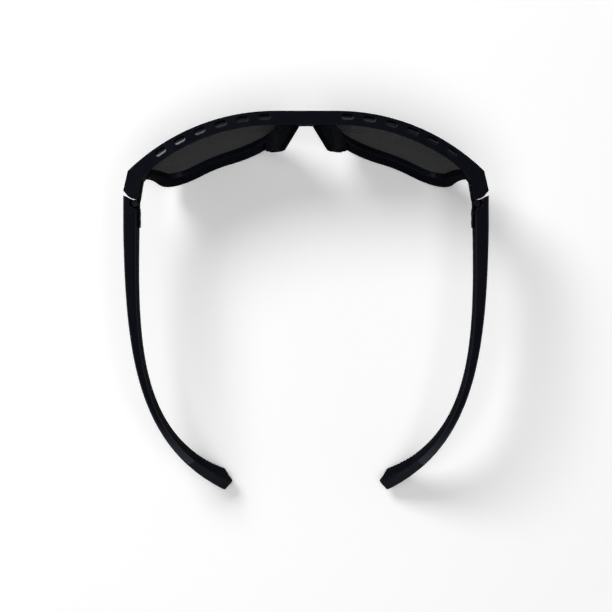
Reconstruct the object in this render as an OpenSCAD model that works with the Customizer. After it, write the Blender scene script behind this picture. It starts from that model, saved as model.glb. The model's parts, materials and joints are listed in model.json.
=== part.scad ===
// Square wrap sunglasses with a flat vented brow bar, tinted lenses and folding temples.
// Millimetres. The front faces -Y, +Z is up and +X is the wearer's left side.
// They stand open on the two lower rims and the two temple tips, which touch the plane z = 0.
// Depths on the front are measured back from the foremost line of the brow.

/* [Front] */
// Distance from the front of the brow back to the origin
origin_back = 75.85; // [70:0.05:80]
// Height of the brow bar above the plane that the lower rims stand on
brow_top = 46; // [45:0.1:49]
// Radius of the shallow crown along the top of the brow bar
crown_r = 950; // [800:10:3000]
// Half length of the straight middle of the brow bar
brow_flat = 12; // [11:0.1:13]
// Radius of the wrapped front surface
front_r = 82.5; // [80:0.1:86]
// Height of the centre of the front surface
curve_z = 37.8; // [36:0.1:40]
// Depth of the front from its front surface to its rear surface
front_t = 5.3; // [5:0.05:6]
// How far the centre of the rear surface lies below that of the front surface
rear_drop = 0.8; // [0.4:0.05:1.4]
// Width of the rim round each lens, seen from the front
rim_w = 5.4; // [4.9:0.05:5.8]
// Width of the rim beside each lens, at the bottom of its outer side
rim_side = 2.2; // [1.8:0.05:3]
// Half width of the front at its outer corners
corner_x = 69.4; // [68.6:0.1:70]
// Height of the underside of the bridge
bridge_low = 35; // [33:0.1:36.5]
// Radius of the arch under the bridge
arch_r = 6.4; // [5:0.1:7]
// Height of the end pieces
end_h = 16.4; // [15.8:0.1:17.5]

/* [Lenses] */
// Depth to which the lower rims are ground flat where they stand
foot_cut = 0.2; // [0.1:0.05:0.4]
// Height of the brow bar above the lens openings
brow_h = 4.6; // [4.2:0.05:5.4]
// Distance of the lens openings from the middle plane, at the top of the nose side
open_in = 9.4; // [9.2:0.05:10]
// Distance of the outer edge of the lens openings from the middle plane
open_out = 63.4; // [62.8:0.05:63.6]
// Corner radius at the top of the nose side
corner_nose = 3.6; // [2.6:0.1:5]
// Corner radius at the top of the outer side
corner_out = 7; // [5:0.1:8]
// Corner radius at the bottom of the outer side
corner_low_out = 13.8; // [11:0.1:15]
// Corner radius at the bottom of the nose side
corner_low_nose = 20.5; // [16:0.1:21.5]
// Radius of the front of the lenses, which wrap a little more than the frame
lens_r = 78; // [77:0.1:80]
// Thickness of each lens
lens_t = 1.8; // [1.5:0.05:2]
// Depth of the rim's lip in front of the lens, on the nose side
lens_lip = 0.6; // [0.5:0.05:0.8]
// How deep the edge of the lens sits in the groove of the rim
lens_seat = 0.9; // [0.7:0.05:1.1]
// Clearance between the lens and its groove
lens_fit = 0.05; // [0.02:0.01:0.1]

/* [Vents] */
// Number of vent slots in each half of the brow bar
vent_count = 6; // [0:1:6]
// Distance along the brow from one vent slot to the next
vent_pitch = 8.6; // [7:0.1:8.8]
// Distance along the curve from the end of the straight middle to the first vent slot
vent_start = 4.1; // [3:0.1:5]
// Distance of the middle of the vent pockets from the front surface
vent_back = 2.9; // [2.8:0.05:3.1]
// Length of the pocket round each vent slot
pocket_len = 4.8; // [4:0.1:5.5]
// Width of the pocket round each vent slot
pocket_w = 2.1; // [1.6:0.05:2.4]
// Depth of the pocket round each vent slot
pocket_deep = 1; // [0.6:0.05:1.4]
// Angle by which the floor of each pocket falls towards the front
pocket_fall = 22; // [10:1:26]
// Length of each vent slot
slot_len = 3.7; // [3:0.1:4]
// Width of each vent slot
slot_w = 0.8; // [0.6:0.05:0.9]
// Distance of each vent slot ahead of the middle of its pocket
slot_ahead = 0.45; // [0.2:0.05:0.6]

/* [Nose] */
// Angle by which the nose pads open towards the rear
splay = 28.5; // [26:0.5:32]
// Angle by which the nose pads open towards the bottom
frontal = 17; // [14:0.5:20]
// Half width between the pad seats at the rear surface, at the height of the arch centre
seat_x = 6.45; // [5.9:0.05:7]
// Depth at which the pad seats begin
seat_back = 6; // [5.6:0.1:6.6]
// Thickness of the nose wings of the front, where they leave the rim
wing_t = 4.4; // [3.8:0.1:5]
// Angle of the outer side of the nose wings
wing_splay = 11; // [8:0.5:14]
// How far the edges of the wings stay inside the edges of the pads
wing_inset = 0.4; // [0.2:0.05:0.8]
// Depth of the rear edge of the nose pads
pad_back = 14.8; // [14:0.1:15.5]
// Height of the lower end of the nose pads
pad_low = 9.5; // [8:0.1:12]
// Height of the upper end of the nose pads
pad_top = 32.5; // [31:0.1:33]
// How far the nose pads reach forwards under the bridge, ahead of the start of their seats
pad_lead = 1.4; // [0.4:0.1:1.8]
// Thickness of the nose pads
pad_t = 1.9; // [1.4:0.05:2.4]
// Rounding of the edges of the nose pads
pad_round = 0.5; // [0.3:0.05:1]
// Radius of the peg that holds each nose pad
peg_r = 0.9; // [0.6:0.05:1.2]
// Length of the peg that holds each nose pad
peg_len = 1.6; // [1:0.1:2]
// Distance of the peg behind the front end of the pad seat
peg_back = 4.2; // [3.6:0.1:5]
// Distance of the peg below the middle of the arch
peg_drop = 8; // [6:0.1:10]
// Clearance round the peg
peg_fit = 0.04; // [0.02:0.01:0.1]

/* [Hinges] */
// Distance of each hinge axis inside the outer face of its temple
hinge_inset = 4.3; // [4.15:0.05:4.55]
// Distance of the hinge axes behind the front of the brow
hinge_back = 36.1; // [36:0.05:36.6]
// Distance of the middle of the hinges below the top of the brow bar
hinge_drop = 9.5; // [9:0.1:10]
// Outer radius of the hinge knuckles
knuckle_r = 1.55; // [1.4:0.01:1.6]
// Height of the middle knuckle
knuckle_mid = 3; // [2.5:0.1:3.4]
// Height of each outer knuckle
knuckle_end = 2; // [1.6:0.1:2.2]
// Clearance between neighbouring knuckles
knuckle_gap = 0.1; // [0.05:0.01:0.15]
// Radius of the hinge screw
pin_r = 0.7; // [0.6:0.01:0.75]
// Clearance between the hinge screw and the knuckles
pin_fit = 0.04; // [0.02:0.01:0.08]
// Radius of the head of the hinge screw
pin_head_r = 1.25; // [1.1:0.01:1.4]
// Height of the head of the hinge screw
pin_head_h = 0.7; // [0.5:0.05:0.9]
// Thickness of the hinge leaves
leaf_t = 1.1; // [1:0.05:1.2]
// Distance of the far end of each hinge leaf from the hinge axis
leaf_reach = 9.2; // [8.8:0.1:10]
// Clearance round the hinge leaves in their recesses
leaf_fit = 0.03; // [0.02:0.01:0.06]
// How far the front leaf stands out of the end piece
front_leaf_proud = 0.25; // [0.1:0.05:0.4]
// How far the temple leaf stands out of the temple
temple_leaf_proud = 0.7; // [0.4:0.05:0.8]
// Radius of the leaf screws
screw_r = 0.5; // [0.4:0.01:0.6]
// Radius of the heads of the leaf screws
screw_head_r = 0.95; // [0.8:0.01:1.1]
// Height of the heads of the leaf screws
screw_head_h = 0.35; // [0.2:0.05:0.4]
// Length of the leaf screws under the head
screw_len = 3; // [2.5:0.1:3.4]
// Distance of the first leaf screw from the hinge axis
screw_near = 4; // [3.6:0.1:4.4]
// Distance of the second leaf screw from the hinge axis
screw_far = 7.3; // [6.8:0.1:7.6]
// Clearance round the leaf screws
screw_fit = 0.03; // [0.02:0.01:0.06]

/* [Temples] */
// Half width over the temples
temple_x = 71.35; // [71.1:0.05:71.6]
// Distance of the upper edge of the temples below the top of the brow bar
temple_drop = 2.9; // [2.7:0.1:3.4]
// Height of the temples at the hinge
temple_h = 13.4; // [12.5:0.1:14]
// Thickness of the temples at the hinge
temple_t = 5.3; // [5.1:0.05:5.4]
// Height towards which the temples taper along their straight part
shank_h = 9.6; // [8:0.1:12]
// Thickness towards which the temples taper along their straight part
shank_t = 4; // [3.4:0.1:5]
// Height towards which the temples taper where they bend down behind the ear
bend_h = 7.2; // [6:0.1:9]
// Thickness towards which the temples taper where they bend down behind the ear
bend_t = 0.4; // [0.2:0.1:1]
// Distance from the hinge axis back to where the temple leaves its straight line
temple_straight = 10; // [8:0.5:14]
// Distance from the hinge axis back to the middle of the temple tip
temple_reach = 111.35; // [106:0.05:114]
// Distance of the middle of the temple tip from the middle plane
tip_x = 33.9; // [31:0.1:37]
// Height of the middle of the temple tip
tip_z = 3.48; // [3:0.02:6]
// Height of the temple section at the tip
tip_h = 8.6; // [7:0.1:10]
// Thickness of the temple section at the tip
tip_t = 5.6; // [5:0.1:6.2]
// Angle by which the tip leans outwards at its upper edge
tip_lean = 16; // [0:1:30]
// Radius of the long edges of the temples
edge_r = 0.8; // [0.5:0.05:1]

/* [Ear grips] */
// Position along the temple curve, as a share, where the rubber grip begins
grip_from = 0.84; // [0.78:0.01:0.88]
// Wall of the rubber grip
grip_wall = 1; // [0.8:0.05:1.2]
// Clearance between the grip and the temple inside it
grip_fit = 0.04; // [0.02:0.01:0.1]
// Rounding of the end of each grip
tip_round = 0.9; // [0.5:0.05:1.2]

/* [Hidden] */
$fn = 64;

frame_black = [0.055, 0.06, 0.085];
lens_grey = [0.17, 0.17, 0.175];
rubber_black = [0.09, 0.09, 0.095];
steel = [0.62, 0.63, 0.65];

far = 200;
margin = 1;
hinge_x = temple_x - hinge_inset;
hinge_z = brow_top - hinge_drop;
temple_top = brow_top - temple_drop;
end_low = brow_top - end_h;
open_low = rim_w - foot_cut;
open_top = brow_top - brow_h;
front_y = -origin_back;
hinge_y = front_y + hinge_back;
curve_y = front_y + front_r;
rear_r = front_r - front_t;
lens_y = front_y + lens_lip + lens_r;
leaf_h = knuckle_mid + 2 * (knuckle_end + knuckle_gap);
hinge_low = hinge_z - leaf_h / 2;
hinge_top = hinge_z + leaf_h / 2;
joint_gap = 0.3;
hinge_room = 0.3;
leaf_ease = 0.05;
pin_slot = 0.35;
temple_rings = 30;
tang_rings = 5;
tang_to = 0.965;
grip_rings = 8;
grip_start = grip_from + 0.002;
blank_lead = 6;

// Corner circles of the lens opening, anticlockwise in the plane of X and Z: [x, z, radius]
nose_slope = 2.6;
out_slope = 5.2;
bottom_bow_r = 150;
top_bow_r = 320;
open_mid = (open_in + open_out) / 2;
bottom_bow = [open_mid, open_low + bottom_bow_r, bottom_bow_r];
top_bow = [open_mid, open_top - top_bow_r, top_bow_r];
OPENING = [
    below(open_in + nose_slope + corner_low_nose, corner_low_nose),
    bottom_bow,
    below(open_out - out_slope - corner_low_out, corner_low_out),
    above(open_out - corner_out, corner_out),
    top_bow,
    above(open_in + corner_nose, corner_nose)
];

// Outline of the rim, which is narrower beside the opening than under it
rim_nose_r = 20.4;
rim_nose_x = 10.6;
rim_low_more = 1.2;
rim_low_r = corner_low_out + rim_side + rim_low_more;
rim_out_r = corner_out + rim_side;
rim_top_r = 8.9;
rim_top_x = 6.5;
RIM = [
    below(rim_nose_x + rim_nose_r, rim_nose_r, rim_w),
    bottom_bow + [0, 0, rim_w],
    below(open_out - out_slope + rim_side - rim_low_r, rim_low_r, rim_w),
    above(open_out + rim_side - rim_out_r, rim_out_r, rim_w),
    top_bow + [0, 0, rim_w],
    above(rim_top_x + rim_top_r, rim_top_r, rim_w)
];

// Plan of the outer end of the front, as distances from the middle plane and behind the brow
end_outer = [temple_x - 0.1, 31.2];
end_notch = [hinge_x + 2.35, hinge_back - 2.65];
end_inner = [hinge_x - 1.45, hinge_back - 1.65];
end_wall = [open_out + 1, 27];
end_root = [[corner_x - 8.9, 22.6], [corner_x - 5.9, 20.2]];
END_PLAN = [
    [corner_x, front_r - sqrt(pow(front_r, 2) - pow(corner_x - brow_flat, 2))],
    end_outer, end_notch, end_inner, end_wall, each end_root
];

root_back = hinge_back - end_inner[1];

// Plan of the cut at the front of each temple
cut_outer = [temple_x + 1, end_outer[1] + 1.4];
cut_notch = [end_notch[0] + 0.15, end_notch[1] + joint_gap];
cut_inner = [hinge_x - 1.3, hinge_back + 3.4];
low_cut_r = 1.66;
low_cut = [for (a = [-80:-25:-155]) [hinge_x, hinge_back] + low_cut_r * [cos(a), sin(a)]];

function bezier(p, t) =
    len(p) == 1 ? p[0] : bezier([for (i = [0:len(p) - 2]) p[i] * (1 - t) + p[i + 1] * t], t);
function unit(v) = v / norm(v);
function turn(a) = a < -0.001 ? turn(a + 360) : a >= 360 ? turn(a - 360) : max(0, a);

// Corner circles at x that touch the bowed lower and upper edges, grown by g, from inside
function below(x, r, g = 0) =
    [x, bottom_bow[1] - sqrt(pow(bottom_bow_r + g - r, 2) - pow(x - open_mid, 2)), r];
function above(x, r, g = 0) =
    [x, top_bow[1] + sqrt(pow(top_bow_r + g - r, 2) - pow(x - open_mid, 2)), r];

// Direction of the outward normal of the line that touches circle a and then circle b
function touch(a, b) = atan2(b[1] - a[1], b[0] - a[0])
    - acos(max(-1, min(1, (a[2] - b[2]) / norm([b[0] - a[0], b[1] - a[1]]))));

// Outline that runs round a ring of corner circles, each grown by g
function belt(c, g, step = 9) = [
    for (i = [0:len(c) - 1])
    let (a = c[(i + len(c) - 1) % len(c)], b = c[i], d = c[(i + 1) % len(c)])
    let (from = touch(a, b), sweep = turn(touch(b, d) - from), n = max(2, ceil(sweep / step)))
    for (k = [0:n]) [b[0], b[1]] + (b[2] + g) * [cos(from + sweep * k / n), sin(from + sweep * k / n)]
];

// Rounded rectangle t wide and h high as points across the temple, anticlockwise
function section(t, h, r) = [
    for (q = [[1, 1, 0], [-1, 1, 90], [-1, -1, 180], [1, -1, 270]])
    for (a = [0:22.5:90])
    [q[0] * (t / 2 - r) + r * cos(q[2] + a), q[1] * (h / 2 - r) + r * sin(q[2] + a)]
];

// Control rows of the temple curve: [x, y, z of the middle, thickness, height, lean]
shank_run = 46.5;
bend_run = 82.9;
bend_in = 2.8;
bend_rise = 1.5;
bow_y = hinge_y + temple_straight;
tip_y = hinge_y + temple_reach;
mid_z = temple_top - temple_h / 2;
mid_x = temple_x - temple_t / 2;
TEMPLE = [
    [mid_x, bow_y, mid_z, temple_t, temple_h, 0],
    [mid_x, bow_y + shank_run, mid_z, shank_t, shank_h, 0],
    [mid_x - bend_in, bow_y + bend_run, temple_top + bend_rise - bend_h / 2, bend_t, bend_h, tip_lean * 0.3],
    [tip_x, tip_y, tip_z, tip_t, tip_h, tip_lean]
];
TEMPLE_STEPS = [for (i = [0:3]) 3 * (TEMPLE[min(i + 1, 3)] - TEMPLE[min(i, 2)])];
function path(t) = bezier(TEMPLE, t);
function course(t) = bezier([TEMPLE_STEPS[0], TEMPLE_STEPS[1], TEMPLE_STEPS[2]], t);

// Ring of points across the temple at share t of its curve, shrunk by the wall w and grown by g
function ring(t, w = 0, g = 0, shift = 0) =
    let (p = path(t), v = course(t), d = unit([v[0], v[1], v[2]]))
    let (side = unit(cross(d, [0, 0, 1])), up = cross(side, d))
    let (across = side * cos(p[5]) - up * sin(p[5]), high = up * cos(p[5]) + side * sin(p[5]))
    let (tt = p[3] - 2 * w + 2 * g, hh = p[4] - 2 * w + 2 * g, r = min(edge_r + g, tt / 2 - 0.05))
    [for (q = section(tt, hh, r)) [p[0], p[1], p[2]] + d * shift + across * q[0] + high * q[1]];

// Closed skin over a list of rings that all have the same number of points
module skin(rings) {
    n = len(rings[0]);
    last = len(rings) - 1;
    points = [for (r = rings) each r, mean_of(rings[0]), mean_of(rings[last])];
    first_cap = len(points) - 2;
    faces = [
        for (i = [0:last - 1]) for (k = [0:n - 1])
        let (a = i * n + k, b = i * n + (k + 1) % n)
        each [[a, b, a + n], [b, b + n, a + n]],
        for (k = [0:n - 1]) [first_cap, (k + 1) % n, k],
        for (k = [0:n - 1]) [first_cap + 1, last * n + k, last * n + (k + 1) % n]
    ];
    polyhedron(points = points, faces = faces, convexity = 10);
}
function mean_of(pts) = [for (i = [0:2]) [for (p = pts) p[i]] * [for (p = pts) 1] / len(pts)];

module mirrored(side) {
    mirror([side < 0 ? 1 : 0, 0, 0]) children();
}

// Solid with the capsule form of the front: radius r, centre raised by lift
module capsule(r, lift = 0) {
    translate([0, curve_y, curve_z + lift])
        rotate([0, 90, 0])
            rotate_extrude($fn = 160)
                intersection() {
                    union() {
                        translate([0, brow_flat]) circle(r, $fn = 160);
                        translate([0, -brow_flat]) circle(r, $fn = 160);
                        translate([-r, -brow_flat]) square([2 * r, 2 * brow_flat]);
                    }
                    translate([0, -far]) square([far, 2 * far]);
                }
}

// Extrudes an outline in the plane of X and Z along the depth
module along_depth(from = 0, to = far) {
    translate([0, front_y + to, 0]) rotate([90, 0, 0]) linear_extrude(to - from) children();
}

// Extrudes a plan given as distances behind the brow
module along_height(from, to) {
    translate([0, front_y, from]) linear_extrude(to - from) children();
}

// Space below the crown of the brow bar and above the standing plane
module crown_room() {
    intersection() {
        translate([0, far, brow_top - crown_r]) rotate([90, 0, 0]) cylinder(r = crown_r, h = 2 * far, $fn = 360);
        translate([-far, -far, 0]) cube([2 * far, 2 * far, far]);
    }
}

// Stadium outline of the given length and width
module stadium(length, width) {
    square([length - width, width], center = true);
    for (s = [-1, 1]) translate([s * (length - width) / 2, 0]) circle(d = width, $fn = 32);
}

// Moves to the seat of the left nose pad: x out of the seat, y to the rear along it
module at_pad_seat(open = splay, start = seat_x) {
    translate([start, front_y + seat_back, bridge_low - arch_r])
        rotate([0, -frontal, 0])
            rotate([0, 0, -open])
                children();
}

// Half space on the nose side of a plane that opens to the rear by an angle and starts at x
module nose_side(open = splay, start = seat_x) {
    at_pad_seat(open, start) translate([-far, -far / 2, -far / 2]) cube(far);
}

// Slice of the nose pad, deep thick from its seat, with its outline grown by g
module pad_slice(deep, g) {
    intersection() {
        at_pad_seat() translate([-deep, -far / 2, -far / 2]) cube([deep, far, far]);
        translate([-margin, 0, 0]) rotate([90, 0, 90]) linear_extrude(far)
            translate([front_y, 0]) pad_profile(g);
    }
}

// Corner radii of the nose pads seen from the side, and the run and lean of their lower and rear edges
pad_top_r = 1.2;
pad_low_r = 2.2;
pad_low_run = 1.4;
pad_rear_r = 1;
pad_rear_from = 8;
pad_rear_to = 2.4;
pad_lean = 0.7;

// Side view of the nose pads and wings, grown by g, with its front edge moved ahead
module pad_profile(g = 0, ahead = 0) {
    front = seat_back - pad_lead - ahead;
    polygon(belt([
        [front + pad_top_r, pad_top - pad_top_r, pad_top_r],
        [front + pad_low_run + pad_low_r, pad_low + pad_low_r, pad_low_r],
        [pad_back - pad_lean - pad_low_run - pad_low_r, pad_low + pad_low_r, pad_low_r],
        [pad_back - pad_lean - pad_rear_r, pad_low + pad_rear_from, pad_rear_r],
        [pad_back - pad_rear_r, pad_top - pad_rear_to, pad_rear_r]
    ], g, 15));
}

// Where the brow bar runs into the bridge, the rims and the end pieces, seen from the front
overlap = 0.01;
bridge_root = 4;
brow_root = 10;
end_rise = 0.8;

module front_blank() {
    intersection() {
        difference() {
            capsule(front_r);
            capsule(rear_r, -rear_drop);
        }
        along_depth(0, front_r) {
            for (s = [-1, 1]) mirror([s < 0 ? 1 : 0, 0]) {
                polygon(belt(RIM, 0));
                polygon([
                    [-overlap, brow_top + margin], [-overlap, bridge_low - bridge_root],
                    [rim_top_x + rim_top_r / 2, bridge_low - bridge_root],
                    [open_in + brow_root, open_top + margin], [open_out - brow_root, open_top + margin],
                    [open_out - margin, end_low - margin], [corner_x, end_low + end_rise],
                    [corner_x, brow_top + margin]
                ]);
            }
        }
    }
}

module end_piece() {
    intersection() {
        along_height(end_low, brow_top) polygon(END_PLAN);
        capsule(front_r);
    }
}

// How far the nose wings reach ahead of the pads, and how far they stay behind the front surface
wing_lead = 1.8;
wing_sink = 3.4;

module nose_wing() {
    intersection() {
        translate([-margin, 0, 0]) rotate([90, 0, 90]) linear_extrude(far)
            translate([front_y, 0]) pad_profile(-wing_inset, wing_lead);
        nose_side(wing_splay, seat_x + wing_t);
        capsule(front_r - wing_sink);
    }
}

module vent(i) {
    rho = front_r - vent_back;
    a = (vent_start + i * vent_pitch) / rho * 180 / PI;
    x = brow_flat + rho * sin(a);
    crown_z = brow_top - crown_r + sqrt(pow(crown_r, 2) - pow(x, 2));
    translate([x, curve_y - rho * cos(a), 0]) rotate([0, 0, a]) {
        translate([0, -slot_ahead, open_top - 3 * margin]) linear_extrude(far) stadium(slot_len, slot_w);
        translate([0, 0, crown_z - pocket_deep]) rotate([pocket_fall, 0, 0])
            linear_extrude(far) stadium(pocket_len, pocket_w);
    }
}

// Half width of the nose gap at its foot, and the gap above the nose pads
arch_foot = 15;
pad_gap = 0.3;

module front_frame() color(frame_black) {
    difference() {
        intersection() {
            union() {
                difference() {
                    union() {
                        front_blank();
                        for (s = [-1, 1]) mirrored(s) end_piece();
                    }
                    for (s = [-1, 1]) mirrored(s) along_depth(-margin) polygon(belt(OPENING, 0));
                }
                for (s = [-1, 1]) mirrored(s) nose_wing();
            }
            crown_room();
        }
        along_depth(-margin) polygon(belt([
            [0, bridge_low - arch_r, arch_r], [-arch_foot, -10, 3], [arch_foot, -10, 3]
        ], 0));
        intersection() {
            nose_side();
            mirror([1, 0, 0]) nose_side();
            translate([-far / 2, -far, -far]) cube([far, 2 * far, far + pad_top + pad_gap]);
        }
        for (s = [-1, 1]) mirrored(s) {
            lens_space(lens_fit);
            for (i = [0:1:vent_count - 1]) vent(i);
            front_leaf_recess();
            front_leaf_screws(screw_fit);
            pad_peg(peg_fit);
        }
    }
}

// Spherical space of the lens, grown by the clearance c
module lens_space(c = 0) {
    intersection() {
        difference() {
            translate([brow_flat, lens_y, curve_z]) sphere(lens_r + c, $fn = 160);
            translate([brow_flat, lens_y, curve_z]) sphere(lens_r - lens_t - c, $fn = 160);
        }
        along_depth(-margin, front_r / 2) polygon(belt(OPENING, lens_seat + c));
    }
}

module lens(side) color(lens_grey) mirrored(side) lens_space();

// Peg that holds the nose pad in the wing
module pad_peg(c = 0) {
    at_pad_seat() translate([-0.2, peg_back, -peg_drop]) rotate([0, 90, 0])
        cylinder(r = peg_r + c, h = peg_len + 0.2 + c, $fn = 32);
}

module nose_pad(side) color(rubber_black) mirrored(side) {
    hull() {
        pad_slice(pad_t - pad_round, 0);
        pad_slice(pad_t, -pad_round);
    }
    pad_peg();
}

// Moves to the front leaf: x out of the end piece's inner wall, y along it, from the hinge
module at_front_leaf() {
    lean = atan2(end_inner[0] - end_wall[0], end_inner[1] - end_wall[1]);
    translate([end_inner[0], front_y + end_inner[1], hinge_z]) rotate([0, 0, -lean]) children();
}

// Moves to the temple leaf: x out of the temple's inner wall, y along it, from the axis
module at_temple_leaf() {
    translate([temple_x - temple_t, hinge_y, hinge_z]) children();
}

module pin_bore() {
    translate([hinge_x, hinge_y, hinge_low - 1]) cylinder(r = pin_r + pin_fit, h = leaf_h + 2, $fn = 32);
}

module knuckle(from, height) {
    translate([hinge_x, hinge_y, from]) cylinder(r = knuckle_r, h = height);
}

// Recess of the front leaf, which is open to the rear
module front_leaf_recess() {
    at_front_leaf() translate([-front_leaf_proud - 1, root_back - leaf_reach - leaf_fit, -leaf_h / 2 - leaf_fit])
        cube([leaf_t + 1 + leaf_fit, leaf_reach + 1, leaf_h + 2 * leaf_fit]);
}

module front_leaf_screws(c = 0) {
    at_front_leaf() for (y = [screw_near, screw_far])
        translate([-front_leaf_proud, root_back - y, 0]) leaf_screw(c);
}

module temple_leaf_screws(c = 0) {
    at_temple_leaf() for (y = [screw_near, screw_far])
        translate([-temple_leaf_proud, y, 0]) leaf_screw(c);
}

module leaf_screw(c = 0) {
    rotate([0, 90, 0]) {
        cylinder(r = screw_r + c, h = screw_len + c, $fn = 32);
        translate([0, 0, -screw_head_h]) cylinder(r = screw_head_r, h = screw_head_h, $fn = 32);
    }
}

module front_hinge_leaf(side) color(steel) mirrored(side) {
    difference() {
        union() {
            at_front_leaf() translate([-front_leaf_proud, root_back - leaf_reach, leaf_ease - leaf_h / 2])
                cube([leaf_t, leaf_reach, leaf_h - 2 * leaf_ease]);
            knuckle(hinge_low, leaf_h);
        }
        at_front_leaf() translate([-far / 2, root_back - knuckle_r - hinge_room, knuckle_end - leaf_h / 2])
            cube([far, far, leaf_h - 2 * knuckle_end]);
        pin_bore();
        front_leaf_screws(screw_fit);
    }
}

module temple_hinge_leaf(side) color(steel) mirrored(side) {
    mid_low = hinge_z - knuckle_mid / 2;
    difference() {
        union() {
            at_temple_leaf() translate([-temple_leaf_proud, knuckle_r + hinge_room, -leaf_h / 2])
                cube([leaf_t, leaf_reach - knuckle_r - hinge_room, leaf_h]);
            at_temple_leaf() translate([-temple_leaf_proud, 0.8, -knuckle_mid / 2])
                cube([leaf_t, knuckle_r + hinge_room, knuckle_mid]);
            knuckle(mid_low, knuckle_mid);
        }
        pin_bore();
        temple_leaf_screws(screw_fit);
    }
}

module hinge_screw(side) color(steel) mirrored(side) {
    translate([hinge_x, hinge_y, hinge_low]) cylinder(r = pin_r, h = leaf_h, $fn = 32);
    difference() {
        translate([hinge_x, hinge_y, hinge_top]) cylinder(r = pin_head_r, h = pin_head_h, $fn = 32);
        translate([hinge_x - pin_head_r, hinge_y - pin_slot / 2, hinge_top + pin_head_h / 2])
            cube([2 * pin_head_r, pin_slot, pin_head_h]);
    }
}

// Space cut off the front of the temple between two heights, along the joint and then the given points
module front_cut(from, to, inner) {
    last = inner[len(inner) - 1];
    along_height(from, to) polygon([
        cut_outer, cut_notch, each inner, [hinge_x - 8, last[1]], [hinge_x - 8, 20], [cut_outer[0], 20]
    ]);
}

module temple(side) color(frame_black) mirrored(side) {
    difference() {
        skin([
            ring(0, shift = -temple_straight - blank_lead),
            for (i = [0:temple_rings]) ring(grip_from * i / temple_rings),
            for (i = [0:tang_rings])
                ring(grip_from + (tang_to - grip_from) * i / tang_rings, grip_wall + grip_fit)
        ]);
        front_cut(temple_top - temple_h - 1, temple_top + 1, low_cut);
        front_cut(hinge_low - hinge_room, temple_top + 1, [cut_inner]);
        translate([hinge_x, hinge_y, hinge_low - hinge_room])
            cylinder(r = knuckle_r + hinge_room, h = far);
        at_temple_leaf() translate([-1, -2, -leaf_h / 2 - leaf_fit])
            cube([leaf_t - temple_leaf_proud + 1 + leaf_fit, leaf_reach + 2 + leaf_fit, leaf_h + 2 * leaf_fit]);
        temple_leaf_screws(screw_fit);
    }
}

module ear_grip(side) color(rubber_black) mirrored(side) {
    skin([
        for (i = [tang_rings:-1:0]) ring(grip_start + (tang_to - grip_from) * i / tang_rings, grip_wall),
        for (i = [0:grip_rings]) ring(grip_start + (1 - grip_start) * i / grip_rings),
        for (a = [30:30:90]) ring(1, tip_round * (1 - cos(a)), 0, tip_round * sin(a))
    ]);
}

front_frame();
lens(1);  // left_lens
lens(-1);  // right_lens
nose_pad(1);  // left_nose_pad
nose_pad(-1);  // right_nose_pad
front_hinge_leaf(1);  // left_front_hinge_leaf
front_hinge_leaf(-1);  // right_front_hinge_leaf
color(steel) front_leaf_screws();  // left_front_leaf_screws
color(steel) mirrored(-1) front_leaf_screws();  // right_front_leaf_screws
hinge_screw(1);  // left_hinge_screw
hinge_screw(-1);  // right_hinge_screw
temple(1);  // left_temple
temple(-1);  // right_temple
temple_hinge_leaf(1);  // left_temple_hinge_leaf
temple_hinge_leaf(-1);  // right_temple_hinge_leaf
color(steel) temple_leaf_screws();  // left_temple_leaf_screws
color(steel) mirrored(-1) temple_leaf_screws();  // right_temple_leaf_screws
ear_grip(1);  // left_ear_grip
ear_grip(-1);  // right_ear_grip
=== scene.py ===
"""Looks of the square wrap sunglasses: finishes, soft pieces, screws, floor, light and camera.

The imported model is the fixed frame. Each class below holds one sub-assembly of the sunglasses or one
part of the studio, and each finish is a frozen dataclass that makes its own material. Lengths are in
metres, written as millimetres times MM where they are small, and angles are in radians.
"""

import json
import logging
import math
from dataclasses import dataclass, field
from enum import Enum

import bmesh
import bpy
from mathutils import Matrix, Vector


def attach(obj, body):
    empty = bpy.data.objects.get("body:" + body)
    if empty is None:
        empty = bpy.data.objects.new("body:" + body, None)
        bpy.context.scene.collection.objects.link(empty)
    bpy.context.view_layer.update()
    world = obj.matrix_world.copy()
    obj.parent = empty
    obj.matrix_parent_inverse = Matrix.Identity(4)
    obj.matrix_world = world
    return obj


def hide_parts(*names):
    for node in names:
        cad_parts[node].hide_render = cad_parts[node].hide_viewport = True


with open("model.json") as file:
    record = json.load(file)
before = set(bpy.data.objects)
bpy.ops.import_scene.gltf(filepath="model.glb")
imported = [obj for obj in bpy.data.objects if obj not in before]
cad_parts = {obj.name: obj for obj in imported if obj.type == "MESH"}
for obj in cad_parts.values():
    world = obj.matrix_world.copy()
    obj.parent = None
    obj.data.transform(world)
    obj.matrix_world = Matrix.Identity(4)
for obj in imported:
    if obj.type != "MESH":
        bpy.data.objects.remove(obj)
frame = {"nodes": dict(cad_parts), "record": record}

Colour = tuple[float, float, float]
Place = tuple[float, float, float]
Node = bpy.types.Node
Socket = bpy.types.NodeSocket

LOG = logging.getLogger("sunglasses")
MM = 0.001
WELD = 0.002 * MM
FLAT_ANGLE = math.radians(1.0)
ROUND_STEPS = 2
EDGE_SAMPLES = 6
UP = Vector((0.0, 0.0, 1.0))
WHITE: Colour = (1.0, 1.0, 1.0)


class Side(Enum):
    """The wearer's left or right, by its word in the names of nodes and bodies."""

    LEFT = "left"
    RIGHT = "right"

    @property
    def arm(self) -> str:
        """The body that folds on this side."""
        return f"{self.value}_arm"


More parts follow.
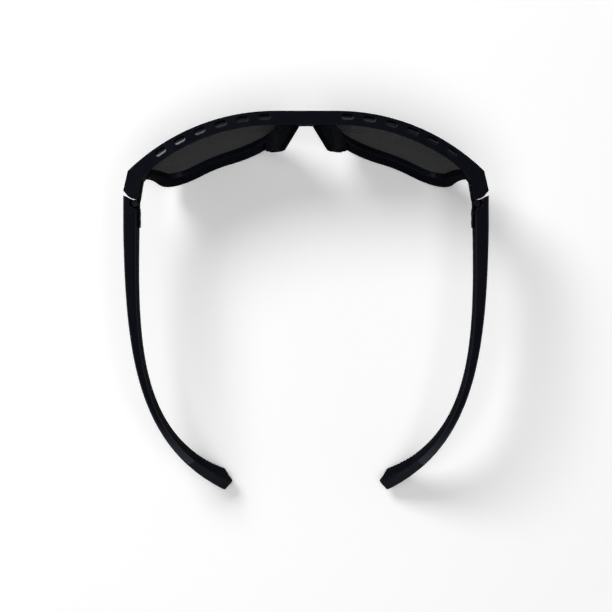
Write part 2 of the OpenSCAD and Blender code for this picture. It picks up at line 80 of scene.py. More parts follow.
class Nodes:
    """Short ways to add and join shader or geometry nodes in one tree."""

    # Places of a Mix node's sockets when it mixes colours, as several of them share a name.
    MIX_SHARE = 0
    MIX_FIRST = 6
    MIX_SECOND = 7
    MIX_COLOUR = 2

    def __init__(self, tree: bpy.types.NodeTree) -> None:
        """Keeps the tree that the nodes go into.

        Args:
            tree: The node tree of a material, world or group.
        """
        self.tree = tree

    def add(self, kind: str, **values: object) -> Node:
        """Adds a node and sets its properties and its input sockets.

        Args:
            kind: The node's type name in Blender.
            **values: A property's name, or a socket's name with underscores for its spaces.

        Returns:
            The new node.
        """
        node = self.tree.nodes.new(kind)
        for name, value in values.items():
            if hasattr(node, name):
                setattr(node, name, value)
            else:
                node.inputs[name.replace("_", " ")].default_value = value
        return node

    def join(self, start: Socket, end: Socket) -> None:
        """Links two sockets."""
        self.tree.links.new(start, end)

    def blend(self, share: Socket, first: Socket | Colour, second: Socket | Colour) -> Socket:
        """Mixes two colours.

        Args:
            share: How much of the second colour shows, from 0 to 1.
            first: A socket or a plain colour.
            second: A socket or a plain colour.

        Returns:
            The socket that gives the mixed colour.
        """
        mix = self.add("ShaderNodeMix", data_type="RGBA")
        self.join(share, mix.inputs[self.MIX_SHARE])
        for source, place in ((first, self.MIX_FIRST), (second, self.MIX_SECOND)):
            if isinstance(source, Socket):
                self.join(source, mix.inputs[place])
            else:
                mix.inputs[place].default_value = (*source, 1.0)
        return mix.outputs[self.MIX_COLOUR]


class SurfaceGrain:
    """Shader group that gives a moulded or rubbed surface its uneven colour, gloss and relief."""

    NAME = "surface_grain"
    INPUTS = (
        ("Vector", "NodeSocketVector"),
        ("Dark", "NodeSocketColor"),
        ("Pale", "NodeSocketColor"),
        ("Smooth", "NodeSocketFloat"),
        ("Rough", "NodeSocketFloat"),
        ("Cloud Scale", "NodeSocketFloat"),
        ("Grain Scale", "NodeSocketFloat"),
    )
    OUTPUTS = (
        ("Color", "NodeSocketColor"),
        ("Roughness", "NodeSocketFloat"),
        ("Height", "NodeSocketFloat"),
    )
    SMEARS_PER_CLOUD = 2.3
    RIPPLE_SCALE = 160.0

    @classmethod
    def group(cls) -> bpy.types.NodeTree:
        """Finds the group, or builds it the first time.

        Returns:
            The shader group with a Color, a Roughness and a Height output.
        """
        if cls.NAME in bpy.data.node_groups:
            return bpy.data.node_groups[cls.NAME]
        tree = bpy.data.node_groups.new(cls.NAME, "ShaderNodeTree")
        for way, sockets in (("INPUT", cls.INPUTS), ("OUTPUT", cls.OUTPUTS)):
            for name, kind in sockets:
                tree.interface.new_socket(name=name, in_out=way, socket_type=kind)
        nodes = Nodes(tree)
        start = nodes.add("NodeGroupInput")
        end = nodes.add("NodeGroupOutput")
        cls._colour(nodes, start, end)
        cls._gloss(nodes, start, end)
        cls._relief(nodes, start, end)
        return tree

    @staticmethod
    def _colour(nodes: Nodes, start: Node, end: Node) -> None:
        """Mixes the dark and the pale colour by slow clouds.

        Args:
            nodes: Helper for the group's tree.
            start: The group's inputs.
            end: The group's outputs.
        """
        clouds = nodes.add("ShaderNodeTexNoise", Detail=2.0, Roughness=0.5)
        spread = nodes.add("ShaderNodeMapRange", From_Min=0.3, From_Max=0.7)
        nodes.join(start.outputs["Vector"], clouds.inputs["Vector"])
        nodes.join(start.outputs["Cloud Scale"], clouds.inputs["Scale"])
        nodes.join(clouds.outputs["Fac"], spread.inputs["Value"])
        mixed = nodes.blend(spread.outputs["Result"], start.outputs["Dark"], start.outputs["Pale"])
        nodes.join(mixed, end.inputs["Color"])

    @classmethod
    def _gloss(cls, nodes: Nodes, start: Node, end: Node) -> None:
        """Varies the roughness by the smears that handling leaves.

        Args:
            nodes: Helper for the group's tree.
            start: The group's inputs.
            end: The group's outputs.
        """
        smear = nodes.add("ShaderNodeTexNoise", Detail=4.0, Roughness=0.6, Distortion=1.2)
        spread = nodes.add("ShaderNodeMapRange", From_Min=0.35, From_Max=0.75)
        finer = nodes.add("ShaderNodeMath", operation="MULTIPLY")
        finer.inputs[1].default_value = cls.SMEARS_PER_CLOUD
        nodes.join(start.outputs["Vector"], smear.inputs["Vector"])
        nodes.join(start.outputs["Cloud Scale"], finer.inputs[0])
        nodes.join(finer.outputs[0], smear.inputs["Scale"])
        nodes.join(smear.outputs["Fac"], spread.inputs["Value"])
        nodes.join(start.outputs["Smooth"], spread.inputs["To Min"])
        nodes.join(start.outputs["Rough"], spread.inputs["To Max"])
        nodes.join(spread.outputs["Result"], end.inputs["Roughness"])

    @classmethod
    def _relief(cls, nodes: Nodes, start: Node, end: Node) -> None:
        """Adds the fine grain of the mould to its slow ripple.

        Args:
            nodes: Helper for the group's tree.
            start: The group's inputs.
            end: The group's outputs.
        """
        grain = nodes.add("ShaderNodeTexNoise", Detail=3.0, Roughness=0.55)
        ripple = nodes.add("ShaderNodeTexNoise", Detail=1.0, Scale=cls.RIPPLE_SCALE)
        total = nodes.add("ShaderNodeMath", operation="ADD")
        for texture in (grain, ripple):
            nodes.join(start.outputs["Vector"], texture.inputs["Vector"])
        nodes.join(start.outputs["Grain Scale"], grain.inputs["Scale"])
        nodes.join(grain.outputs["Fac"], total.inputs[0])
        nodes.join(ripple.outputs["Fac"], total.inputs[1])
        nodes.join(total.outputs[0], end.inputs["Height"])


@dataclass(frozen=True)
class Finish:
    """A surface finish, which makes its own material.

    Attributes:
        name: Its name, and its slot in the record unless record_slot gives another.
        dark: Its darkest colour.
        pale: Its palest colour.
        smooth: Its least roughness.
        rough: Its greatest roughness.
        cloud_scale: Clouds of colour in a metre.
        grain_scale: Grains of relief in a metre.
        relief: Strength of the relief, from 0 to 1.
        relief_depth: Depth of the relief.
        edge_r: Radius that the light sees on an edge.
        metallic: 1 for bare metal and 0 for the rest.
        specular: Strength of the gloss, 0.5 being that of the index of refraction.
        ior: Index of refraction.
        gloss_tint: Tint of the gloss.
        record_slot: Slot in the record, where it isn't the finish's name.
    """

    name: str
    dark: Colour
    pale: Colour
    smooth: float
    rough: float
    cloud_scale: float = 40.0
    grain_scale: float = 2500.0
    relief: float = 0.1
    relief_depth: float = 0.02 * MM
    edge_r: float = 0.2 * MM
    metallic: float = 0.0
    specular: float = 0.5
    ior: float = 1.5
    gloss_tint: Colour = WHITE
    record_slot: str = ""

    @property
    def slot(self) -> str:
        """The material slot of the record that the finish belongs to."""
        return self.record_slot or self.name

    def material(self) -> bpy.types.Material:
        """Finds the finish's material, or builds it the first time.

        Returns:
            The material.
        """
        title = f"{self.name}_finish"
        if title in bpy.data.materials:
            return bpy.data.materials[title]
        made = bpy.data.materials.new(title)
        made.use_nodes = True
        tree = made.node_tree
        shader = tree.nodes["Principled BSDF"]
        shader.inputs["Metallic"].default_value = self.metallic
        shader.inputs["Specular IOR Level"].default_value = self.specular
        shader.inputs["IOR"].default_value = self.ior
        shader.inputs["Specular Tint"].default_value = (*self.gloss_tint, 1.0)
        self._wire(Nodes(tree), shader)
        made.diffuse_color = (*self.pale, 1.0)
        return made

    def _wire(self, nodes: Nodes, shader: Node) -> None:
        """Feeds the shader's colour, roughness and normal.

        Args:
            nodes: Helper for the material's tree.
            shader: The Principled BSDF.
        """
        place = nodes.add("ShaderNodeTexCoord")
        grain = nodes.add("ShaderNodeGroup", node_tree=SurfaceGrain.group())
        for name, value in (
            ("Dark", (*self.dark, 1.0)),
            ("Pale", (*self.pale, 1.0)),
            ("Smooth", self.smooth),
            ("Rough", self.rough),
            ("Cloud Scale", self.cloud_scale),
            ("Grain Scale", self.grain_scale),
        ):
            grain.inputs[name].default_value = value
        round_edge = nodes.add("ShaderNodeBevel", samples=EDGE_SAMPLES, Radius=self.edge_r)
        bump = nodes.add("ShaderNodeBump", Strength=self.relief, Distance=self.relief_depth)
        nodes.join(place.outputs["Object"], grain.inputs["Vector"])
        nodes.join(grain.outputs["Color"], shader.inputs["Base Color"])
        nodes.join(grain.outputs["Roughness"], shader.inputs["Roughness"])
        nodes.join(grain.outputs["Height"], bump.inputs["Height"])
        nodes.join(round_edge.outputs["Normal"], bump.inputs["Normal"])
        nodes.join(bump.outputs["Normal"], shader.inputs["Normal"])


FRAME_PLASTIC = Finish(
    name="frame_plastic",
    dark=(0.0020, 0.0023, 0.0042),
    pale=(0.0028, 0.0034, 0.0062),
    smooth=0.20,
    rough=0.30,
    relief=0.12,
    specular=0.36,
    gloss_tint=(0.78, 0.82, 0.96),
    edge_r=0.3 * MM,
)
LENS_TINT = Finish(
    name="lens_tint",
    dark=(0.0585, 0.0585, 0.0600),
    pale=(0.0630, 0.0630, 0.0646),
    smooth=0.03,
    rough=0.06,
    relief=0.02,
    specular=0.6,
    edge_r=0.1 * MM,
)
GRIP_RUBBER = Finish(
    name="grip_rubber",
    dark=(0.0032, 0.0043, 0.0078),
    pale=(0.0046, 0.0060, 0.0100),
    smooth=0.40,
    rough=0.54,
    grain_scale=5200.0,
    relief=0.35,
    specular=0.13,
    edge_r=0.15 * MM,
)
PAD_RUBBER = Finish(
    name="pad_rubber",
    dark=(0.0011, 0.0011, 0.0014),
    pale=(0.0018, 0.0018, 0.0023),
    smooth=0.36,
    rough=0.50,
    grain_scale=5200.0,
    relief=0.30,
    specular=0.10,
    edge_r=0.15 * MM,
    record_slot="grip_rubber",
)
HINGE_STEEL = Finish(
    name="hinge_steel",
    dark=(0.011, 0.011, 0.0125),
    pale=(0.018, 0.018, 0.020),
    smooth=0.30,
    rough=0.42,
    metallic=1.0,
    grain_scale=4000.0,
    relief=0.2,
    edge_r=0.12 * MM,
)
SCREW_STEEL = Finish(
    name="screw_steel",
    dark=(0.075, 0.076, 0.080),
    pale=(0.110, 0.111, 0.116),
    smooth=0.24,
    rough=0.36,
    metallic=1.0,
    grain_scale=4000.0,
    relief=0.15,
    edge_r=0.08 * MM,
)


class SmoothShade:
    """Geometry group that shades a mesh smooth and keeps its sharp edges sharp."""

    NAME = "smooth_shade"
    SHARP_ANGLE = math.radians(28)

    @classmethod
    def group(cls) -> bpy.types.NodeTree:
        """Finds the group, or builds it the first time.

        Returns:
            The geometry group.
        """
        if cls.NAME in bpy.data.node_groups:
            return bpy.data.node_groups[cls.NAME]
        tree = bpy.data.node_groups.new(cls.NAME, "GeometryNodeTree")
        for way in ("INPUT", "OUTPUT"):
            tree.interface.new_socket(name="Geometry", in_out=way, socket_type="NodeSocketGeometry")
        nodes = Nodes(tree)
        start = nodes.add("NodeGroupInput")
        end = nodes.add("NodeGroupOutput")
        faces = nodes.add("GeometryNodeSetShadeSmooth", domain="FACE")
        edges = nodes.add("GeometryNodeSetShadeSmooth", domain="EDGE")
        angle = nodes.add("GeometryNodeInputMeshEdgeAngle")
        gentle = nodes.add("FunctionNodeCompare", data_type="FLOAT", operation="LESS_THAN")
        gentle.inputs[1].default_value = cls.SHARP_ANGLE
        faces.inputs["Shade Smooth"].default_value = True
        nodes.join(start.outputs[0], faces.inputs["Geometry"])
        nodes.join(faces.outputs[0], edges.inputs["Geometry"])
        nodes.join(angle.outputs["Unsigned Angle"], gentle.inputs[0])
        nodes.join(gentle.outputs[0], edges.inputs["Shade Smooth"])
        nodes.join(edges.outputs[0], end.inputs[0])
        return tree

    @classmethod
    def put_on(cls, piece: bpy.types.Object) -> None:
        """Welds a piece's loose triangles and shades it smooth, with live modifiers.

        Args:
            piece: The object to shade.
        """
        join = piece.modifiers.new("weld", "WELD")
        join.merge_threshold = WELD
        shade = piece.modifiers.new("smooth_shade", "NODES")
        shade.node_group = cls.group()


class Workshop:
    """Steps that the new pieces go through."""

    @staticmethod
    def merged_copy(node: str, name: str) -> bpy.types.Object:
        """Copies a CAD node's mesh into a new object and joins its loose triangles.

        Args:
            node: The CAD node.
            name: The new piece's name.

        Returns:
            The new object, at the origin, with flat faces joined into one.
        """
        mesh = frame["nodes"][node].data.copy()
        mesh.name = name
        mesh.materials.clear()
        work = bmesh.new()
        work.from_mesh(mesh)
        bmesh.ops.remove_doubles(work, verts=work.verts, dist=WELD)
        bmesh.ops.dissolve_limit(work, angle_limit=FLAT_ANGLE, verts=work.verts, edges=work.edges)
        work.to_mesh(mesh)
        work.free()
        piece = bpy.data.objects.new(name, mesh)
        bpy.context.scene.collection.objects.link(piece)
        return piece

    @staticmethod
    def cut_faces(
        work: bmesh.types.BMesh, faces: list[bmesh.types.BMFace], place: Vector, across: Vector
    ) -> list[bmesh.types.BMFace]:
        """Cuts faces along a plane and leaves the rest of the mesh whole.

        Args:
            work: The mesh being worked on.
            faces: The faces to cut.
            place: A point of the plane.
            across: The plane's normal.

        Returns:
            The faces on both sides of the cut.
        """
        points = list(dict.fromkeys(v for f in faces for v in f.verts))
        edges = list(dict.fromkeys(e for f in faces for e in f.edges))
        cut = bmesh.ops.bisect_plane(
            work, geom=points + edges + faces, plane_co=place, plane_no=across
        )
        return [g for g in cut["geom"] if isinstance(g, bmesh.types.BMFace)]

    @staticmethod
    def push_in(work: bmesh.types.BMesh, faces: list[bmesh.types.BMFace], way: Vector) -> None:
        """Sinks faces into a mesh, with walls round them.

        Args:
            work: The mesh being worked on.
            faces: The faces to sink.
            way: How far and in which direction.
        """
        grown = bmesh.ops.extrude_face_region(work, geom=faces)
        bmesh.ops.delete(work, geom=faces, context="FACES")
        points = [g for g in grown["geom"] if isinstance(g, bmesh.types.BMVert)]
        bmesh.ops.translate(work, verts=points, vec=way)

    @staticmethod
    def finish(piece: bpy.types.Object, look: Finish, body: str, node: str) -> bpy.types.Object:
        """Gives a new piece its material and body, shades it smooth and hides the CAD node that it
        stands for.

        Args:
            piece: The new piece.
            look: Its finish.
            body: The CAD body that it rides on.
            node: The CAD node that it stands for.

        Returns:
            The piece.
        """
        piece.data.materials.append(look.material())
        for face in piece.data.polygons:
            face.use_smooth = True
        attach(piece, body)
        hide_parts(node)
        LOG.info("piece %s on %s", piece.name, body)
        return piece

    @staticmethod
    def round_off(piece: bpy.types.Object, width: float, levels: int, angle: float) -> None:
        """Rounds a piece's edges with a bevel and then smooths it by subdivision.

        Args:
            piece: The piece.
            width: Width of the bevel.
            levels: Steps of subdivision.
            angle: Angle in radians past which an edge is rounded.
        """
        bevel = piece.modifiers.new("bevel", "BEVEL")
        bevel.width = width
        bevel.segments = ROUND_STEPS
        bevel.limit_method = "ANGLE"
        bevel.angle_limit = angle
        bevel.use_clamp_overlap = True
        divide = piece.modifiers.new("subdivision", "SUBSURF")
        divide.levels = levels
        divide.render_levels = levels


class CarriedNodes:
    """The CAD nodes whose shape is right: they keep their meshes and get their finishes."""

    LOOKS = {
        look.slot: look
        for look in (FRAME_PLASTIC, LENS_TINT, GRIP_RUBBER, HINGE_STEEL, SCREW_STEEL)
    }

    def dress(self) -> None:
        """Puts the finish of its record slot on every CAD node and shades it smooth."""
        slots = {row["node"]: row["material_slot"] for row in frame["record"]["subparts"]}
        for name, node in frame["nodes"].items():
            look = self.LOOKS[slots[name]]
            if not node.data.materials:
                node.data.materials.append(look.material())
            for slot in node.material_slots:
                slot.material = look.material()
            SmoothShade.put_on(node)
            LOG.info("node %s gets %s", name, look.name)


@dataclass
class NosePads:
    """The two soft pads on the nose wings.

    Attributes:
        edge: Width of their rounded edges.
        edge_angle: Angle past which an edge is rounded.
        levels: Steps of subdivision.
    """

    edge: float = 0.55 * MM
    edge_angle: float = math.radians(30)
    levels: int = 2

    def build(self) -> list[bpy.types.Object]:
        """Builds both pads from their solids, with rounded rubber edges.

        Returns:
            The two pads.
        """
        pads = []
        for side in Side:
            node = f"{side.value}_nose_pad"
            pad = Workshop.merged_copy(node, f"{node}_soft")
            Workshop.round_off(pad, self.edge, self.levels, self.edge_angle)
            pads.append(Workshop.finish(pad, PAD_RUBBER, "front", node))
        return pads


@dataclass
class EarGrips:
    """The two rubber sleeves over the temple ends, with ribs across their inner sides.

    Attributes:
        edge: Width of their rounded edges.
        edge_angle: Angle past which an edge is rounded.
        levels: Steps of subdivision.
        collar: Length added to the mouth, which closes the seam to the temple's shoulder.
        rib_from: Distance from the mouth to the first groove.
        rib_to: Distance from the mouth that the ribs stay within.
        rib_pitch: Distance from one groove to the next.
        groove: Width of a groove.
        groove_deep: Depth of a groove.
        rib_facing: Least share of a face's normal that points to the head where it has ribs.
    """

    # Cosine of the angle within which faces count as facing one way.
    SAME_WAY = 0.999

    edge: float = 0.16 * MM
    edge_angle: float = math.radians(40)
    levels: int = 1
    collar: float = 0.30 * MM
    rib_from: float = 3.4 * MM
    rib_to: float = 24.0 * MM
    rib_pitch: float = 2.0 * MM
    groove: float = 0.95 * MM
    groove_deep: float = 0.50 * MM
    rib_facing: float = 0.45

    def build(self) -> list[bpy.types.Object]:
        """Builds both grips from their solids, with smoothed skin, ribs and a closed seam.

        Returns:
            The two grips.
        """
        grips = []
        for side in Side:
            node = f"{side.value}_ear_grip"
            grip = Workshop.merged_copy(node, f"{node}_soft")
            self._shape(grip.data)
            Workshop.round_off(grip, self.edge, self.levels, self.edge_angle)
            grips.append(Workshop.finish(grip, GRIP_RUBBER, side.arm, node))
        return grips

    def _shape(self, mesh: bpy.types.Mesh) -> None:
        """Closes the seam to the temple and cuts the cross grooves of the inner side.

        Args:
            mesh: The merged mesh of a sleeve.
        """
        work = bmesh.new()
        work.from_mesh(mesh)
        # Of all faces, one on the flat rim of the mouth has the most corners.
        mouth = max(work.faces, key=lambda f: len(f.verts))
        out = mouth.normal.copy()
        start = mouth.calc_center_median()
        rim = {f for f in work.faces if f.normal.dot(out) > self.SAME_WAY}
        skin = self._skin(work, rim)
        ring = {v for f in rim for v in f.verts}
        bmesh.ops.translate(work, verts=list(ring), vec=out * self.collar)
        self._groove(work, skin, start, -out)
        work.to_mesh(mesh)
        work.free()

    @staticmethod
    def _skin(work: bmesh.types.BMesh, rim: set[bmesh.types.BMFace]) -> set[bmesh.types.BMFace]:
        """Finds the outer faces of a sleeve, from its tip up to the rim of its mouth.

        Args:
            work: The mesh being worked on.
            rim: The flat faces round the mouth.

        Returns:
            The faces of the outer skin.
        """
        tip = max(work.verts, key=lambda v: v.co.y)
        found = set(tip.link_faces)
        edge_on = list(found)
        while edge_on:
            face = edge_on.pop()
            for other in (f for e in face.edges for f in e.link_faces):
                if other not in found and other not in rim:
                    found.add(other)
                    edge_on.append(other)
        return found

    def _groove(
        self,
        work: bmesh.types.BMesh,
        skin: set[bmesh.types.BMFace],
        start: Vector,
        along: Vector,
    ) -> None:
        """Sinks cross grooves into the inner side of a sleeve, which leaves ribs between them.

        Args:
            work: The mesh being worked on.
            skin: The outer faces of the sleeve.
            start: A point in the plane of its mouth.
            along: Direction from its mouth into the sleeve.
        """
        inward = along.cross(UP).normalized()
        inward *= -math.copysign(1.0, inward.x * start.x)
        faces = [f for f in work.faces if f in skin and f.normal.dot(inward) > self.rib_facing]
        count = int((self.rib_to - self.rib_from) / self.rib_pitch)
        for row in range(count):
            for more in (0.0, self.groove):
                place = start + along * (self.rib_from + row * self.rib_pitch + more)
                faces = Workshop.cut_faces(work, faces, place, along)
        last = self.rib_from + count * self.rib_pitch
        sunk = []
        for face in faces:
            reach = (face.calc_center_median() - start).dot(along)
            if self.rib_from < reach < last and (reach - self.rib_from) % self.rib_pitch < self.groove:
                sunk.append(face)
        LOG.info("%d groove faces of %d", len(sunk), len(faces))
        Workshop.push_in(work, sunk, -inward * self.groove_deep)


@dataclass
class LeafScrews:
    """The pairs of small screws that hold the hinge leaves, with a cross in every head.

    Attributes:
        slot_half: Half the width of the cross's arms.
        slot_deep: Depth of the cross.
        arm_half: Half the length of its arms.
        edge: Rounding of the head's rim.
    """

    # What tells a head's outer face from the rest: where it faces, and how many corners it has.
    HEAD_FACING = 0.9
    HEAD_CORNERS = 12
    HEADS = 2

    slot_half: float = 0.14 * MM
    slot_deep: float = 0.16 * MM
    arm_half: float = 0.55 * MM
    edge: float = 0.07 * MM

    def build(self) -> list[bpy.types.Object]:
        """Builds the four pairs of screws with a cross in every head.

        Returns:
            The four pieces, one for each pair.
        """
        made = []
        for side in Side:
            for leaf, body in (("front", "front"), ("temple", side.arm)):
                node = f"{side.value}_{leaf}_leaf_screws"
                pair = Workshop.merged_copy(node, f"{node}_crossed")
                self._cross(pair.data)
                made.append(Workshop.finish(pair, SCREW_STEEL, body, node))
                SmoothShade.put_on(pair)
        return made

    def _cross(self, mesh: bpy.types.Mesh) -> None:
        """Sinks a cross into the outer face of each screw head and rounds its rim.

        Args:
            mesh: The merged mesh of a pair of screws.
        """
        work = bmesh.new()
        work.from_mesh(mesh)
        middle = sum((v.co for v in work.verts), Vector()) / len(work.verts)
        inward = Vector((-math.copysign(1.0, middle.x), 0.0, 0.0))
        heads = [
            f for f in work.faces
            if f.normal.dot(inward) > self.HEAD_FACING and len(f.verts) > self.HEAD_CORNERS
        ]
        for head in sorted(heads, key=lambda f: -f.calc_area())[:self.HEADS]:
            self._sink(work, head)
        work.to_mesh(mesh)
        work.free()

    def _sink(self, work: bmesh.types.BMesh, head: bmesh.types.BMFace) -> None:
        """Cuts one head's face along the cross and pushes the cross in.

        Args:
            work: The mesh being worked on.
            head: The flat outer face of the head.
        """
        centre = head.calc_center_median()
        out = head.normal.copy()
        along = out.cross(UP).normalized()
        rim = list(head.edges)
        faces = [head]
        for across in (UP, along):
            for place in (-self.arm_half, -self.slot_half, self.slot_half, self.arm_half):
                faces = Workshop.cut_faces(work, faces, centre + across * place, across)
        cross = [f for f in faces if self._in_cross(f.calc_center_median() - centre, along)]
        Workshop.push_in(work, cross, -out * self.slot_deep)
        alive = [e for e in rim if e.is_valid]
        bmesh.ops.bevel(
            work,
            geom=alive,
            offset=self.edge,
            segments=ROUND_STEPS,
            profile=0.5,
            affect="EDGES",
            material=-1,
        )

    def _in_cross(self, place: Vector, along: Vector) -> bool:
        """Tells whether a point on the head lies in one of the two arms of the cross.

        Args:
            place: The point, seen from the middle of the head.
            along: Direction of the level arm.

        Returns:
            True inside the cross.
        """
        high = abs(place.dot(UP))
        wide = abs(place.dot(along))
        return min(high, wide) < self.slot_half and max(high, wide) < self.arm_half


@dataclass
class Sunglasses:
    """The whole object: carried nodes and the pieces that replace some of them."""

    carried: CarriedNodes = field(default_factory=CarriedNodes)
    pads: NosePads = field(default_factory=NosePads)
    grips: EarGrips = field(default_factory=EarGrips)
    screws: LeafScrews = field(default_factory=LeafScrews)

    def build(self) -> None:
        """Builds every new piece and dresses the carried nodes."""
        pieces = self.pads.build() + self.grips.build() + self.screws.build()
        self.carried.dress()
        LOG.info("%d new pieces beside %d nodes", len(pieces), len(frame["nodes"]))


@dataclass
class Floor:
    """The wide matt white floor.

    Attributes:
        half: Half of its width.
        white: Its colour for the light that it throws back.
        seen_near: Its colour to the camera out to near_reach.
        seen_far: Its colour to the camera from far_reach on, where the lamps are weak.
        near_reach: Distance from the middle where it starts to brighten for the camera.
        far_reach: Distance from the middle where it stops.
        mirrored_near: Its colour in the gloss of the sunglasses out to shade_reach, a painted shade
            that stands for the shadow that the sunglasses throw on the floor.
        mirrored_far: Its colour there from open_reach on, still painted darker than the floor's white.
        shade_reach: Distance from the middle where it starts to brighten in the gloss.
        open_reach: Distance from the middle where it stops.
    """

    half: float = 3.0
    white: float = 0.8
    seen_near: float = 1.19
    seen_far: float = 8.0
    near_reach: float = 0.17
    far_reach: float = 2.2
    mirrored_near: float = 0.03
    mirrored_far: float = 0.55
    shade_reach: float = 0.10
    open_reach: float = 0.26

    def lay(self) -> None:
        """Lays the floor at the height that the sunglasses stand on."""
        work = bmesh.new()
        bmesh.ops.create_grid(work, x_segments=1, y_segments=1, size=self.half)
        mesh = bpy.data.meshes.new("floor")
        work.to_mesh(mesh)
        work.free()
        floor = bpy.data.objects.new("floor", mesh)
        bpy.context.scene.collection.objects.link(floor)
        mesh.materials.append(self._material())

    def _material(self) -> bpy.types.Material:
        """Makes a matt white that stays white to the camera far from the lamps.

        Returns:
            The material, darker in the gloss of the sunglasses than to the camera: a painted shade,
            nearly black close to the middle.
        """
        made = bpy.data.materials.new("floor_white")
        made.use_nodes = True
        tree = made.node_tree
        tree.nodes.clear()
        nodes = Nodes(tree)
        out = nodes.add("ShaderNodeOutputMaterial")
        rays = nodes.add("ShaderNodeLightPath")
        matt = nodes.add("ShaderNodeBsdfDiffuse")
        place = nodes.add("ShaderNodeTexCoord")
        reach = nodes.add("ShaderNodeVectorMath", operation="LENGTH")
        glow = nodes.add(
            "ShaderNodeMapRange",
            From_Min=self.near_reach,
            From_Max=self.far_reach,
            To_Min=self.seen_near,
            To_Max=self.seen_far,
        )
        # Painted shade: the floor seen in the gloss of the sunglasses is darker than its white, nearly
        # black close to the middle where they shade it.
        painted_gloss_shade = nodes.add(
            "ShaderNodeMapRange",
            interpolation_type="SMOOTHSTEP",
            From_Min=self.shade_reach,
            From_Max=self.open_reach,
            To_Min=self.mirrored_near,
            To_Max=self.mirrored_far,
        )
        nodes.join(place.outputs["Object"], reach.inputs[0])
        nodes.join(reach.outputs["Value"], glow.inputs["Value"])
        nodes.join(reach.outputs["Value"], painted_gloss_shade.inputs["Value"])
        seen = nodes.blend(rays.outputs["Is Camera Ray"], (self.white,) * 3, glow.outputs["Result"])
        # Glossy rays get the painted shade, the camera gets the bright white.
        colour = nodes.blend(rays.outputs["Is Glossy Ray"], seen, painted_gloss_shade.outputs["Result"])
        nodes.join(colour, matt.inputs["Color"])
        nodes.join(matt.outputs[0], out.inputs["Surface"])
        return made


@dataclass
class Room:
    """The soft light from all round, which comes from the walls more than from above.

    Attributes:
        low: Its strength near the level of the floor.
        high: Its strength overhead.
        low_to: Sine of the angle above the floor up to which the low strength holds.
        high_from: Sine of the angle from which the high strength holds.
        matt_share: Share of it that falls on matt surfaces.
        gloss_tint: Its colour in glossy surfaces.
    """

    low: float = 1.00
    high: float = 0.075
    low_to: float = math.sin(math.radians(12.0))
    high_from: float = math.sin(math.radians(46.0))
    matt_share: float = 0.5
    gloss_tint: Colour = (0.88, 0.95, 1.0)

    def light(self) -> None:
        """Makes the world, which the camera itself sees as plain white."""
        world = bpy.data.worlds.new("studio")
        world.use_nodes = True
        nodes = Nodes(world.node_tree)
        back = world.node_tree.nodes["Background"]
        place = nodes.add("ShaderNodeTexCoord")
        axes = nodes.add("ShaderNodeSeparateXYZ")
        fade = nodes.add(
            "ShaderNodeMapRange",
            interpolation_type="SMOOTHSTEP",
            From_Min=self.low_to,
            From_Max=self.high_from,
            To_Min=self.low,
            To_Max=self.high,
        )
        rays = nodes.add("ShaderNodeLightPath")
        share = nodes.add("ShaderNodeMapRange", To_Min=1.0, To_Max=self.matt_share)
        lit = nodes.add("ShaderNodeMath", operation="MULTIPLY")
        shown = nodes.add("ShaderNodeMix", data_type="FLOAT", B=1.0)
        nodes.join(place.outputs["Object"], axes.inputs["Vector"])
        nodes.join(axes.outputs["Z"], fade.inputs["Value"])
        nodes.join(rays.outputs["Is Diffuse Ray"], share.inputs["Value"])
        nodes.join(fade.outputs["Result"], lit.inputs[0])
        nodes.join(share.outputs["Result"], lit.inputs[1])
        nodes.join(rays.outputs["Is Camera Ray"], shown.inputs["Factor"])
        nodes.join(lit.outputs[0], shown.inputs["A"])
        nodes.join(shown.outputs["Result"], back.inputs["Strength"])
        tint = nodes.blend(rays.outputs["Is Glossy Ray"], WHITE, self.gloss_tint)
        nodes.join(tint, back.inputs["Color"])
        bpy.context.scene.world = world


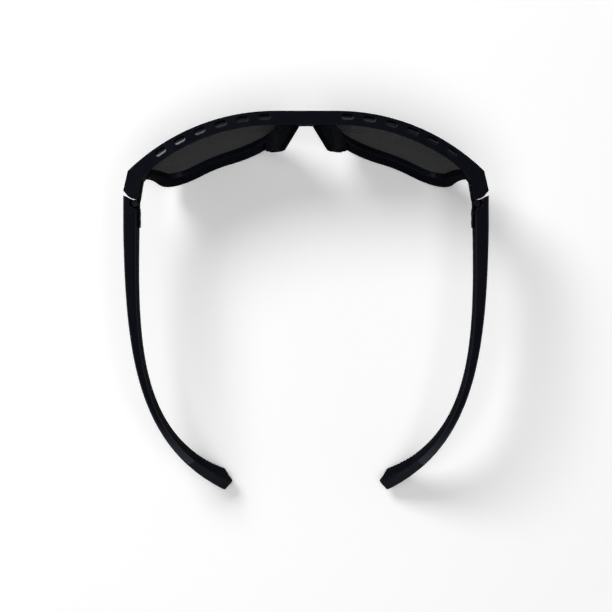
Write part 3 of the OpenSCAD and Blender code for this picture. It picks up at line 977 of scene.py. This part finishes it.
@dataclass(frozen=True)
class Lamp:
    """A round soft lamp that points at the sunglasses.

    Attributes:
        name: Its name.
        place: Where it hangs.
        size: Its diameter.
        watts: Its power.
        on_gloss: Whether glossy surfaces show it.
        on_matt: Whether it lights matt surfaces.
    """

    AIM = Vector((0.0, 0.0, 0.02))

    name: str
    place: Place
    size: float
    watts: float
    on_gloss: bool = True
    on_matt: bool = True

    def hang(self) -> None:
        """Hangs the lamp in the scene."""
        lamp = bpy.data.lights.new(self.name, "AREA")
        lamp.shape = "DISK"
        lamp.size = self.size
        lamp.energy = self.watts
        holder = bpy.data.objects.new(self.name, lamp)
        bpy.context.scene.collection.objects.link(holder)
        holder.location = self.place
        aim = self.AIM - Vector(self.place)
        holder.rotation_euler = aim.to_track_quat("-Z", "Y").to_euler()
        holder.visible_glossy = self.on_gloss
        holder.visible_diffuse = self.on_matt


KEY = Lamp("key", place=(0.576, -0.696, 0.800), size=0.52, watts=7.4)
FILL = Lamp("fill", place=(0.0, 0.14, 1.0), size=0.9, watts=4.6, on_gloss=False)
GLINT = Lamp("glint", place=(-0.087, -0.829, 0.863), size=0.23, watts=0.9, on_matt=False)


@dataclass
class OverheadCamera:
    """The camera straight above, with the brow at the top of the picture.

    Attributes:
        height: Its height over the floor.
        back: How far it hangs behind the middle of the sunglasses.
        brow_below: How far the top of the brow is below it.
        view_width: Width of what it sees at that distance.
        sensor: Width of its sensor, in millimetres.
    """

    height: float = 0.716
    back: float = 0.35 * MM
    brow_below: float = 0.670
    view_width: float = 237.5 * MM
    sensor: float = 36.0

    def hang(self) -> None:
        """Hangs the camera in the scene and makes it the one that is used."""
        lens = bpy.data.cameras.new("camera")
        lens.sensor_width = self.sensor
        lens.lens = self.sensor * self.brow_below / self.view_width
        camera = bpy.data.objects.new("camera", lens)
        bpy.context.scene.collection.objects.link(camera)
        camera.location = (0.0, self.back, self.height)
        camera.rotation_euler = (0.0, 0.0, math.pi)
        bpy.context.scene.camera = camera


@dataclass
class Studio:
    """The pale floor, the soft light and the camera above."""

    floor: Floor = field(default_factory=Floor)
    room: Room = field(default_factory=Room)
    lamps: tuple[Lamp, ...] = (KEY, FILL, GLINT)
    camera: OverheadCamera = field(default_factory=OverheadCamera)

    def build(self) -> None:
        """Sets the floor, the world, the lamps and the camera."""
        self.floor.lay()
        self.room.light()
        for lamp in self.lamps:
            lamp.hang()
            LOG.info("lamp %s with %.1f W", lamp.name, lamp.watts)
        self.camera.hang()
        bpy.context.scene.view_settings.view_transform = "Standard"


def main() -> None:
    """Builds the sunglasses and the studio."""
    logging.basicConfig(level=logging.INFO, format="%(name)s: %(message)s")
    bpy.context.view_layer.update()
    Sunglasses().build()
    Studio().build()


if __name__ == "__main__":
    main()
